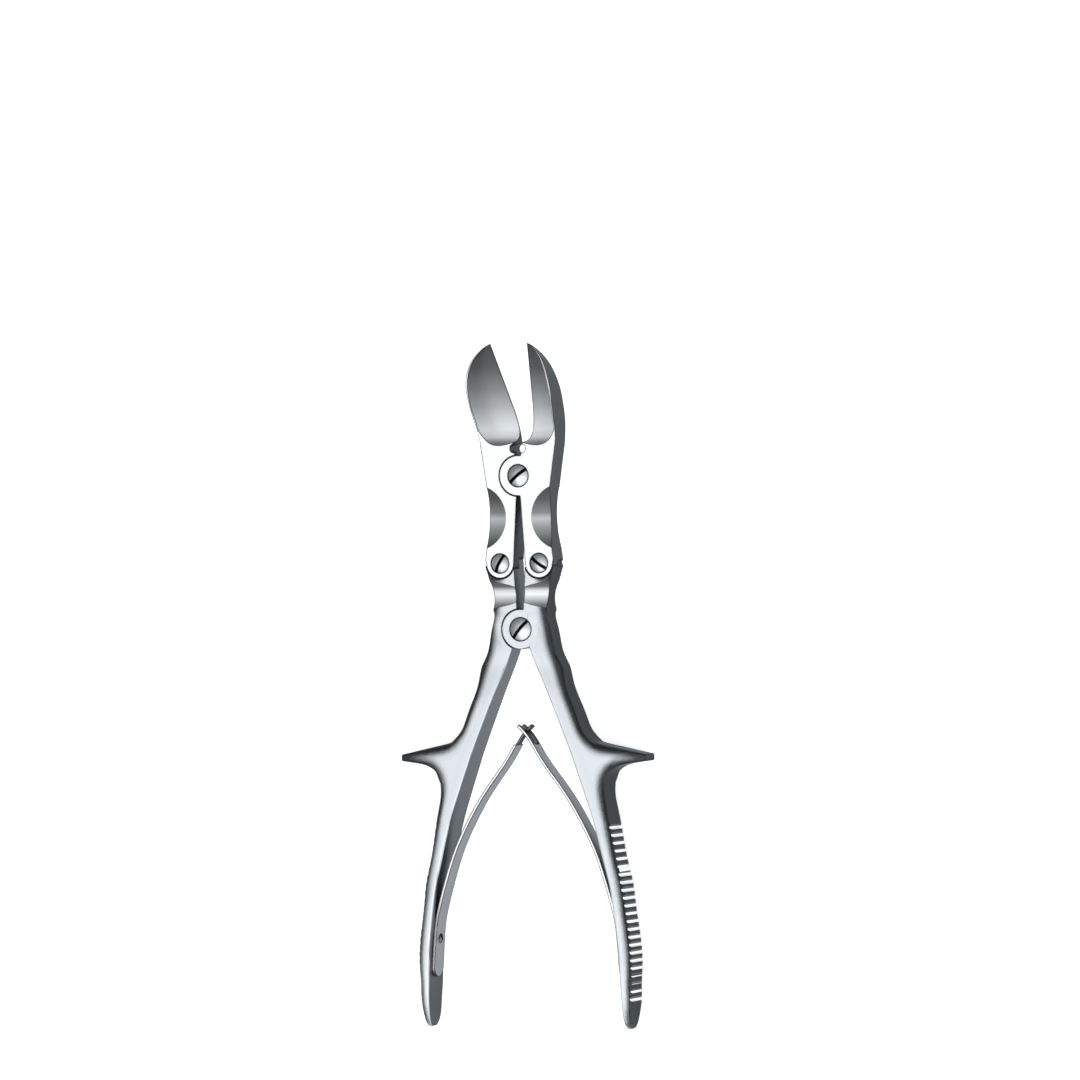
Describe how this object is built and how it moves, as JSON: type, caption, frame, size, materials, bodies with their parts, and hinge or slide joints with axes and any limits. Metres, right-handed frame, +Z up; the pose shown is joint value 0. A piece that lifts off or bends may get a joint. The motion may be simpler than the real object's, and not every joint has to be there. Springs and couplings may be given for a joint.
{
  "type": "bone cutting forceps",
  "caption": "Double action bone cutting forceps with curved hollow-ground blades, screw lap joints, finger stops and interlocked leaf springs, lying open.",
  "frame": {"origin": "on the axis of the handle pivot, in the plane of the joint's back face", "axes": "+Y from the handles to the blade tips, +Z up out of the front face, +X across to the right handle"},
  "size_m": [0.1046, 0.27, 0.0227],
  "materials": {
    "jaw_steel": "polished",
    "handle_steel": "satin",
    "screw_steel": "polished",
    "spring_steel": "satin"
  },
  "bodies": {
    "left_handle": {"left_handle": "handle_steel", "handle_pivot_screw": "screw_steel", "left_link_screw": "screw_steel", "left_spring_screw": "screw_steel"},
    "right_handle": {"right_handle": "handle_steel", "right_link_screw": "screw_steel", "right_spring_screw": "screw_steel"},
    "left_jaw": {"left_jaw": "jaw_steel", "jaw_pivot_screw": "screw_steel"},
    "right_jaw": {"right_jaw": "jaw_steel"},
    "left_spring": {"left_leaf_spring": "spring_steel"},
    "right_spring": {"right_leaf_spring": "spring_steel"}
  },
  "joints": [
    {"name": "handle_hinge", "type": "hinge", "parent": "left_handle", "child": "right_handle", "pos_m": [0, 0, 0.005], "axis": [0, 0, -1], "range_deg": [-6, 22.8], "stiffness_Nm_per_rad": 3},
    {"name": "left_link_hinge", "type": "hinge", "parent": "left_handle", "child": "left_jaw", "pos_m": [-0.00832, 0.02605, 0.005], "axis": [0, 0, -1], "range_deg": [-5.3, 20]},
    {"name": "jaw_hinge", "type": "hinge", "parent": "left_jaw", "child": "right_jaw", "pos_m": [0, 0.0606, 0.005], "axis": [0, 0, 1], "range_deg": [-4.5, 17]},
    {"name": "left_spring_flex", "type": "hinge", "parent": "left_handle", "child": "left_spring", "pos_m": [-0.0352, -0.104, 0.005], "axis": [0, 0, 1], "range_deg": [-1.8, 6.8], "deforming": ["left_leaf_spring"]},
    {"name": "right_spring_flex", "type": "hinge", "parent": "right_handle", "child": "right_spring", "pos_m": [0.0352, -0.104, 0.005], "axis": [0, 0, -1], "range_deg": [-1.8, 6.8], "deforming": ["right_leaf_spring"]}
  ],
  "couplings": [
    {"joint": "left_link_hinge", "follows": "handle_hinge", "ratio": 0.872},
    {"joint": "jaw_hinge", "follows": "handle_hinge", "ratio": 0.744},
    {"joint": "left_spring_flex", "follows": "handle_hinge", "ratio": 0.293},
    {"joint": "right_spring_flex", "follows": "handle_hinge", "ratio": 0.293}
  ]
}
